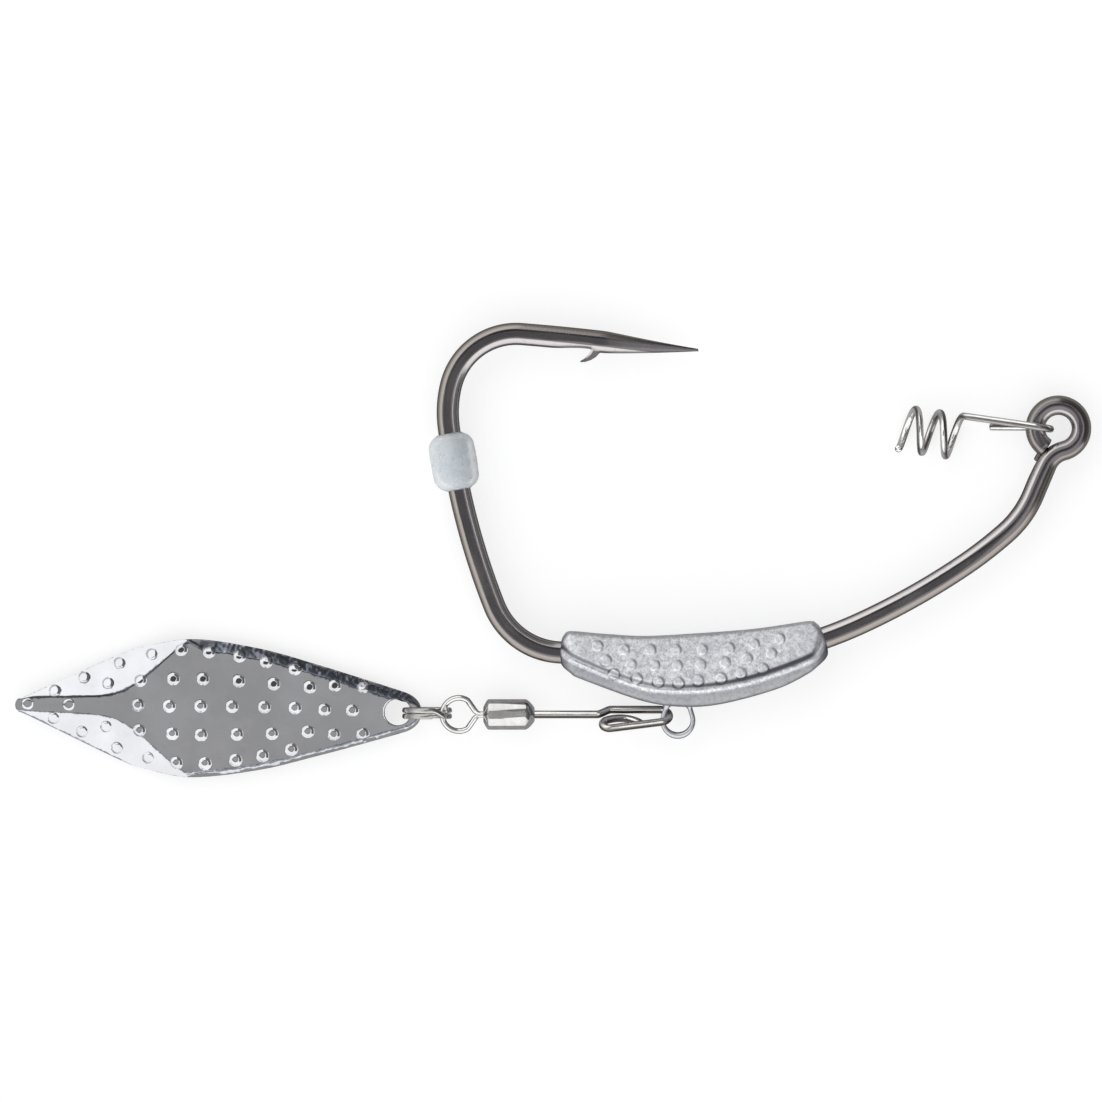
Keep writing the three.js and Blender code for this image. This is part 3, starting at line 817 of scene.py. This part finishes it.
def makeBarrel():
    bm = newMesh()
    length = barrel["length"]
    profile = [(0, barrel["recess"]), (barrel["bore"], barrel["recess"]), (barrel["bore"], 0.06),
               (barrel["bore"] + 0.06, 0), (barrel["eyeEnd"] - 0.08, 0), (barrel["eyeEnd"], 0.05)]
    profile += [(between(barrel["eyeEnd"], barrel["radius"], sin(pi / 2 * n / 8) ** 0.9),
                 0.05 + (barrel["eyeCone"] - 0.05) * n / 8) for n in range(1, 9)]
    profile += [(barrel["radius"], length - barrel["clipCone"])]
    profile += [(between(barrel["clipEnd"], barrel["radius"], cos(pi / 2 * n / 8) ** 0.9),
                 length - barrel["clipCone"] * (1 - n / 8) - 0.03) for n in range(1, 9)]
    profile += [(barrel["clipEnd"] - 0.07, length), (barrel["bore"] + 0.02, length),
                (barrel["bore"] - 0.02, length - 0.05), (barrel["bore"] - 0.02, length - barrel["recess"]),
                (0, length - barrel["recess"])]
    axis = Vector(barrel["at"])
    spunShape(bm, profile, Matrix.Translation(axis), 96)
    for n in range(barrel["flats"]):
        turn = 2 * pi * n / barrel["flats"]
        outward = Vector((0, cos(turn), sin(turn)))
        cut = bmesh.ops.bisect_plane(bm, geom=bm.verts[:] + bm.edges[:] + bm.faces[:], dist=0.0005,
                                     plane_co=axis + outward * barrel["flatAt"], plane_no=outward,
                                     clear_outer=True)
        bmesh.ops.edgeloop_fill(bm, edges=only(cut["geom_cut"], BMEdge))
    shadeTones = bm.verts.layers.float["tone"]
    for vert in bm.verts:
        local = vert.co - axis
        # painted shade: full in the bore, and growing toward both ends
        atEnd = max(0.55 - local.x, 0) * 1.1 + max(local.x - length + 0.2, 0) * 2
        inBore = hypot(local.y, local.z) < barrel["bore"] + 0.03
        vert[shadeTones] = 1.0 if inBore else min(atEnd, 0.5)
    addPiece(bm, "fluted_barrel", "barrel", "swivel_barrel", turnedNickel(), 16)


# swivel eye: a loop of wire whose ends close into a neck
swivelEye = {
    "radius": 1.85, "wire": 0.315, "neckWire": 0.2, "centre": -2.72, "leaves": 60,
    "neck": [(0.55, 0.15), (0.0, 0.15), (-0.4, 0.15), (-0.68, 0.22), (-0.95, 0.44), (-1.3, 0.93)],
}


def makeSwivelEye():
    bm = newMesh()
    place = Vector(barrel["at"])
    leaves = swivelEye["leaves"]
    bow = []
    for n in range(49):
        angle = radians(leaves + (360 - 2 * leaves) * n / 48)
        bow.append(Vector((swivelEye["centre"] + swivelEye["radius"] * cos(angle),
                           swivelEye["radius"] * sin(angle), 0)))
    neck = [Vector((x, y, 0)) for x, y in swivelEye["neck"]]
    leg = smoothLine([*neck, bow[0], bow[2]], 8)[:-8]
    otherLeg = [Vector((point.x, -point.y, 0)) for point in reversed(leg)]
    route = [place + point for point in spaced(leg[:-1] + bow[:-1] + otherLeg, 130)]
    rings = layWire(bm, route, 1, 20)
    length = rings[-1]["station"]

    def section(station, turn):
        # the two legs of the neck are squeezed thinner
        thick = between(swivelEye["neckWire"], swivelEye["wire"],
                        smoothStep(min(station, length - station), 0.9, 1.6))
        return thick * cos(turn), thick * sin(turn)

    shapeWire(bm, rings, section)
    markWire(bm, rings)
    closeEnds(bm, rings, 0.1)
    bright = wireFinish("plated eye wire", 0.315, (0.80, 0.79, 0.775), (0.10, 0.09, 0.085), 0.08, 0.09)
    addPiece(bm, "loop_eye", "eye", "swivel_eye", bright)


# clip: one wire from the barrel, wound flat so its last turn opens over the bow
clip = {
    "wire": 0.44, "lean": 52, "inBarrel": 0.5, "shank": 6.9, "rise": 0.85, "riseAngle": 35,
    "riseRadius": 0.75, "top": 5.3, "endRadius": 1.1, "endTurn": -169, "bottom": 5.75,
    "foldRadius": 0.74, "foldTurn": -166, "tongue": 4.5, "tongueTurn": -74, "tongueDrop": 0.95,
}


def makeClip():
    bm = newMesh()
    lean = radians(clip["lean"])
    start = Vector(barrel["at"]) + Vector((barrel["length"] - clip["inBarrel"], 0, 0))
    riseTurn = radians(clip["riseAngle"])
    riseArc = clip["riseRadius"] * riseTurn
    straightRise = (clip["rise"] - 2 * clip["riseRadius"] * (1 - cos(riseTurn))) / sin(riseTurn)
    bends = [(clip["shank"] + clip["inBarrel"], 0), (riseArc, clip["riseAngle"]), (straightRise, 0),
             (riseArc, -clip["riseAngle"]), (clip["top"], 0),
             (clip["endRadius"] * radians(-clip["endTurn"]), clip["endTurn"]), (clip["bottom"], 0),
             (clip["foldRadius"] * radians(-clip["foldTurn"]), clip["foldTurn"]),
             (clip["tongue"], clip["tongueTurn"])]
    axis = Vector((0, sin(lean), cos(lean)))
    route = spaced(bendRoute(start, (1, 0, 0), bends, 0.1, axis), 230)
    # the tongue lies under the run that it springs against
    runs = runsAlong(route)
    springs = runs[-1] - clip["tongue"] - clip["foldRadius"] * radians(-clip["foldTurn"]) / 2
    route = [point - Vector((0, 0, clip["tongueDrop"])) * smoothStep(run, springs + 0.6, springs + 3.6)
             for point, run in zip(route, runs)]
    rings = layWire(bm, route, clip["wire"], 20, axis)
    markWire(bm, rings)
    closeEnds(bm, rings, 0.16)
    spring = wireFinish("spring clip wire", 0.44, (0.93, 0.90, 0.865), (0.085, 0.07, 0.06), 0.08, 0.1)
    addPiece(bm, "wound_clip", "clip", "clip_wire", spring)


# split ring: two flattened coils with a step between them
splitRing = {"x": -13.96, "y": -18.1, "level": 2.82, "outer": 2.8, "coil": 0.6, "gap": 0.06, "stepAt": 56,
             "halfStep": 20}


def makeSplitRing():
    bm = newMesh()
    route = []
    steps = 170
    sweep = 720 - 2 * splitRing["halfStep"]
    radius = splitRing["outer"] - splitRing["coil"] / 2
    for n in range(steps + 1):
        past = splitRing["halfStep"] + sweep * n / steps
        share = smoothStep(past, 360 - splitRing["halfStep"], 360 + splitRing["halfStep"])
        angle = radians(splitRing["stepAt"] + past)
        route.append(Vector((splitRing["x"] + radius * cos(angle),
                             splitRing["y"] + (splitRing["coil"] + splitRing["gap"]) * (share - 0.5),
                             splitRing["level"] + radius * sin(angle))))
    rings = layWire(bm, route, 1, 20, (0, 1, 0))

    def section(station, angle):
        # drawn flat: a rounded square
        across, high = cos(angle), sin(angle)
        swell = (abs(across) ** 3 + abs(high) ** 3) ** (-1 / 3)
        return across * swell * 0.27, high * swell * splitRing["coil"] / 2 * 0.98

    shapeWire(bm, rings, section)
    markWire(bm, rings)
    closeEnds(bm, rings, 0.06)
    flat = wireFinish("plated ring wire", 0.27, (0.74, 0.73, 0.715), (0.45, 0.43, 0.41), 0.08, 0.1)
    addPiece(bm, "double_ring", "ring", "split_ring", flat)


# blade: hammered sheet with a keeled tip, rolled edges and punched bumps
blade = {
    "length": 45.3, "sheet": 0.42, "top": 2.28, "tilt": -1.1, "endX": -14.6, "y": -18.06,
    "outline": [(0, 0.05), (0.06, 0.5), (0.3, 1.1), (0.8, 1.66), (1.5, 2.08), (2.6, 2.45), (6.5, 3.62),
                (11.7, 5.12), (18, 6.75), (25.4, 7.7), (30.8, 6.84), (34, 5.74), (43.6, 1.26), (44.7, 0.86),
                (45.15, 0.5), (45.3, 0.1)],
    "holeAt": 2.65, "holeRadius": 1.45,
    # crease: half width of the flat back from `flare` to the tip; before that it ends in a rolled rim
    "upper": {"roll": 1.25, "edge": 1.45, "soft": 0.55, "crease": [
        (26.0, 7.35), (27.7, 6.1), (29.2, 4.7), (30.7, 3.4), (32.0, 2.35), (33.2, 1.62), (34.4, 1.2),
        (36.0, 0.95), (39, 0.82), (42, 0.74), (44, 0.66), (45.3, 0.5)]},
    "lower": {"roll": 0.62, "edge": 1.62, "soft": 0.16, "crease": [
        (26.0, 7.3), (27.5, 6.35), (29.1, 4.95), (30.7, 3.55), (32.0, 2.5), (33.2, 1.75), (34.4, 1.2),
        (36.0, 0.92), (39, 0.76), (42, 0.7), (44, 0.62), (45.3, 0.5)]},
    "flare": 26.0, "arch": 0.0025, "tipLevel": 1.6, "tipRoll": 0.3, "tipEdge": 0.45, "steepest": 0.30,
    "bump": 0.61, "bumpHeight": 0.17, "columns": 400, "rows": 126,
}
bladeBumps = [
    (40.9, 1.68), (37.7, 3.21), (33.8, 4.89), (30.2, 5.97), (26.9, 6.52), (23.8, 6.35), (20.4, 5.93),
    (17.4, 5.36), (14.2, 4.62), (35.0, 2.63), (31.4, 3.01), (27.7, 3.25), (24.4, 3.31), (20.4, 3.16),
    (16.5, 2.91), (12.5, 2.63), (9.7, 2.86), (6.5, 2.75), (43.9, 0.15), (39.3, 0.14), (31.6, 0.26),
    (28.1, 0.2), (24.6, 0.27), (21.1, 0.29), (17.5, 0.31), (14.1, 0.27), (10.8, 0.15), (7.7, 0.11),
    (41.0, -1.42), (37.8, -2.86), (35.1, -2.26), (31.4, -2.58), (27.7, -2.86), (24.5, -2.93),
    (20.5, -2.78), (16.6, -2.64), (12.6, -2.34), (9.7, -2.58), (6.5, -2.48), (33.9, -4.61),
    (30.4, -5.62), (27.2, -6.11), (24.0, -6.11), (20.6, -5.66), (17.6, -5.12), (14.4, -4.36),
]


def bladeAlong(share):
    # finer steps toward both ends, where the outline turns
    if share < 0.08:
        return 1.8 * (share / 0.08) ** 2
    if share > 0.95:
        return blade["length"] - 1.2 * ((1 - share) / 0.05) ** 2
    return between(1.8, blade["length"] - 1.2, (share - 0.08) / 0.87)


def bladeHalfWidth():
    # the outline as half widths at the columns of the mesh
    line = [(point.x, point.y) for point in smoothLine([(x, y, 0) for x, y in blade["outline"]], 60)]
    return [tableValue(line, bladeAlong(n / blade["columns"])) for n in range(blade["columns"] + 1)]


def tableValue(table, at):
    if at <= table[0][0]:
        return table[0][1]
    for (low, first), (high, second) in zip(table, table[1:]):
        if at <= high:
            return between(first, second, (at - low) / (high - low))
    return table[-1][1]


def bladeSurface(along, across, halfWidth):
    # the sheet's level, and how much painted shade it gets
    upperSide = across > 0
    side = blade["upper" if upperSide else "lower"]
    away = abs(across)
    ragged = 0.13 * roughNoise((along, across, 0), 1.1, 7.0) + 0.08 * roughNoise((along, across, 0), 0.4, 9.0)
    behind = 1 - smoothStep(along, 24.0, 26.4)
    if along < blade["flare"]:
        back = max(halfWidth - between(blade["tipRoll"], side["roll"], behind), 0.5 * halfWidth)
    else:
        back = min(tableValue(side["crease"], along), 0.93 * halfWidth)
    ridge = between(blade["top"], blade["tipLevel"], smoothStep(along, 31, blade["length"] + 8))
    flat = ridge - blade["arch"] * min(away, back) ** 2
    edge = between(side["edge"], blade["tipEdge"], smoothStep(along, 22, 27.5))
    # a facet leaves the crease through a short soft bend, and the rim behind rolls over
    past = away - back + ragged * between(0.25, 1.0, behind)
    width = max(halfWidth - back, 0.25)
    soft = min(side["soft"], width * 0.8)
    drop = min((flat - edge) / max(width - soft / 2, 0.1), blade["steepest"])
    if past <= 0:
        facet = flat
    elif past < soft:
        facet = flat - drop * past * past / (2 * soft)
    else:
        facet = flat - drop * (past - soft / 2)
    rolled = flat - (flat - edge) * (max(past, 0) / width) ** 1.6
    level = between(facet, rolled, behind)
    tone = 0.0
    # painted reflection: a dark band along the upper rolled rim and the upper crease; painted shade along the
    # lower crease
    if upperSide:
        tone = 0.9 * smoothStep(past, -0.45, 0.25) * behind
        tone *= 1 - 0.5 * smoothStep(halfWidth - away, 0.3, 0.0)
        tone = max(tone, 0.75 * (1 - behind) * bell(past - 0.22, 0.26)
                   * (1 - smoothStep(along, 33, 36)))
        tone = max(tone, 0.55 * (1 - behind) * bell(past - 0.05, 0.10))
    else:
        tone = 0.85 * bell(past - 0.02, 0.15) * between(0.75, 1.0, behind)
    # painted shade along the outline
    rim = bell(halfWidth - away, 0.10)
    tone = max(tone, 0.55 * rim)
    # darker along the lower edge toward the tip, in uneven patches
    if not upperSide:
        darkLowerEdge = bell(halfWidth - away, 0.24) * smoothStep(along, 30, 35)
        tone = max(tone, (0.85 + 0.35 * roughNoise((along, 3, 0), 1.3, 9.0)) * darkLowerEdge)
    # painted shade round the hole and along the end by the hole
    holeGap = hypot(along - blade["holeAt"], across) - blade["holeRadius"]
    tone = max(tone, 0.8 * bell(holeGap, 0.16))
    tone = max(tone, 0.7 * bell(max(along, 0), 0.16))
    return level, tone


def makeBlade():
    bm = newMesh()
    shadeTones = bm.verts.layers.float["tone"]
    halfWidths = bladeHalfWidth()
    columns, rows = blade["columns"], blade["rows"]
    bmesh.ops.create_grid(bm, x_segments=columns, y_segments=rows, size=0.5)
    for vert in bm.verts:
        along = bladeAlong(vert.co.x + 0.5)
        halfWidth = halfWidths[round((vert.co.x + 0.5) * columns)]
        across = 2 * vert.co.y * halfWidth
        level, tone = bladeSurface(along, across, halfWidth)
        level += 0.006 * roughNoise((along, across, 0), 5.0, 3.0)
        for at, off in bladeBumps:
            gap = hypot(along - at, across - off) / blade["bump"]
            if gap < 1.3:
                # a punched bump has a flattened crown and a crisp foot
                low = max(1 - gap ** 7, 0)
                shoulderHighlight = 0.35 if at > 39 and abs(off) < 0.5 else 1.0
                level += blade["bumpHeight"] * low * shoulderHighlight
                lean = 0.12 if off > 1.0 else 0.0
                level -= lean * (across - off) * low
                # painted shade round each bump's foot
                foot = bell(gap - 1.03, 0.11)
                tone = max(tone * (1 - low), (0.75 if at > 29 else 0.55) * foot * shoulderHighlight)
        vert.co = (along, across, level)
        vert[shadeTones] = tone
    # the ring's hole, its rim drawn to a true circle
    centre = Vector((blade["holeAt"], 0, 0))
    inside = [vert for vert in bm.verts if (Vector((vert.co.x, vert.co.y, 0)) - centre).length
              < blade["holeRadius"] - 0.03]
    before = {vert for vert in bm.verts if vert.is_boundary}
    bmesh.ops.delete(bm, geom=inside, context="VERTS")
    for vert in bm.verts:
        if vert.is_boundary and vert not in before:
            flat = Vector((vert.co.x, vert.co.y, 0)) - centre
            flat = centre + flat.normalized() * blade["holeRadius"]
            vert.co = (flat.x, flat.y, vert.co.z - 0.05)
            # painted shade on the hole's wall
            vert[shadeTones] = 1.2
    bmesh.ops.scale(bm, vec=(-1, 1, 1), verts=bm.verts[:])
    bmesh.ops.recalc_face_normals(bm, faces=bm.faces[:])
    if sum(face.normal.z for face in bm.faces) < 0:
        bmesh.ops.reverse_faces(bm, faces=bm.faces[:])
    bmesh.ops.solidify(bm, geom=bm.faces[:], thickness=blade["sheet"])
    turn = Matrix.Rotation(radians(blade["tilt"]), 4, "Z")
    moveVerts(bm, Matrix.Translation((blade["endX"], blade["y"], 0)) @ turn, bm.verts[:])
    addPiece(bm, "hammered_blade", "blade", "spinner_blade", mirrorNickel(), 50)


# light, floor and camera
studio = {"middle": 0.43, "bright": 1.3, "horizon": 0.72, "cameraAt": (-0.0002, -0.000077, 0.8),
          "sharpHeight": 0.003, "frameWidth": 0.12262, "floorSize": 4.0, "floorGap": 0.00002}


def makeStudio():
    scene = bpy.context.scene
    scene.world = bpy.data.worlds.new("studio dome")
    dome = Finish("studio dome", scene.world)
    way = dome.node("ShaderNodeTexCoord", None, None, "Generated")
    x, y, z = dome.parts(way)
    zenith = z.math("ARCCOSINE") * (180 / pi)
    flat = ((x * x + y * y) + 1e-6).math("SQRT")
    leftward = (x * -1.0).atLeast(0.0)
    # the middle of the dome is a grey opening, longer toward the blade's tip
    shortX = x + leftward * 0.7
    core = ((shortX * shortX + y * y) + 1e-6).math("SQRT").math("ARCSINE") * (180 / pi)
    light = dome.fade(core, 8.4, 10.5, studio["middle"], studio["bright"])
    rimDark = dome.fade(core, 6.6, 7.4) * dome.fade(core, 9.0, 10.2, 1.0, 0.0)
    lowSide = dome.fade(y / flat, -0.9, -0.2, 1.1, studio["horizon"])
    fall = dome.fade(zenith, 63, 74)
    light = light * (1 - fall) + lowSide * fall
    light = light * (1 - rimDark * 0.85)
    # a dark panel at the upper right, and a dark strip above the middle
    toward = (x * 0.88 + y * 0.47) / flat
    panel = dome.fade(toward, 0.50, 0.60) * dome.fade(zenith, 24, 32)
    light = light * (1 - panel * 0.86)
    upperStrip = dome.fade(y / flat, 0.45, 0.62) * dome.fade(zenith, 6.6, 8.5) * dome.fade(zenith, 24, 20)
    light = light * (1 - upperStrip * 0.93)
    back = dome.node("ShaderNodeBackground", None, {"Color": (0.985, 0.99, 1.0), "Strength": light})
    dome.node("ShaderNodeOutputWorld", None, {"Surface": back})

    bm = bmesh.new()
    bmesh.ops.create_grid(bm, x_segments=2, y_segments=2, size=studio["floorSize"] / 2)
    bmesh.ops.translate(bm, vec=(0, 0, cadLow.z - studio["floorGap"]), verts=bm.verts[:])
    mesh = bpy.data.meshes.new("studio_floor")
    bm.to_mesh(mesh)
    bm.free()
    # a pale table lit a little from below, so shadows stay light; metal mirrors it darker
    paper = Finish("pale table")
    fibre = paper.grain(paper.objectPlace(), 1.2)
    white = paper.tint(fibre, (0.375, 0.375, 0.375), (0.385, 0.385, 0.385))
    table = paper.node("ShaderNodeBsdfPrincipled", None, {
        "Base Color": white, "Roughness": 0.95, "Specular IOR Level": 0.0,
        "Emission Color": (1, 1, 1), "Emission Strength": 0.70})
    under = paper.node("ShaderNodeBsdfDiffuse", None, {"Color": (0.44, 0.435, 0.435)})
    seen = paper.node("ShaderNodeLightPath", None, None, "Is Glossy Ray")
    mixed = paper.node("ShaderNodeMixShader", None, {0: seen, 1: table, 2: under})
    paper.node("ShaderNodeOutputMaterial", None, {"Surface": mixed})
    mesh.materials.append(paper.owner)
    newObject("studio_floor", mesh)

    camera = bpy.data.cameras.new("product camera")
    camera.sensor_width = 36
    camera.lens = camera.sensor_width * (studio["cameraAt"][2] - studio["sharpHeight"]) / studio["frameWidth"]
    camera.clip_start = 0.01
    camera.clip_end = 20
    scene.camera = newObject("product camera", camera)
    scene.camera.location = studio["cameraAt"]
    scene.view_settings.view_transform = "Standard"
    scene.view_settings.look = "None"
    print("studio made")


makeHook()
makeWeight()
makeHanger()
makeBead()
makeKeeper()
makeBarrel()
makeSwivelEye()
makeClip()
makeSplitRing()
makeBlade()
makeStudio()
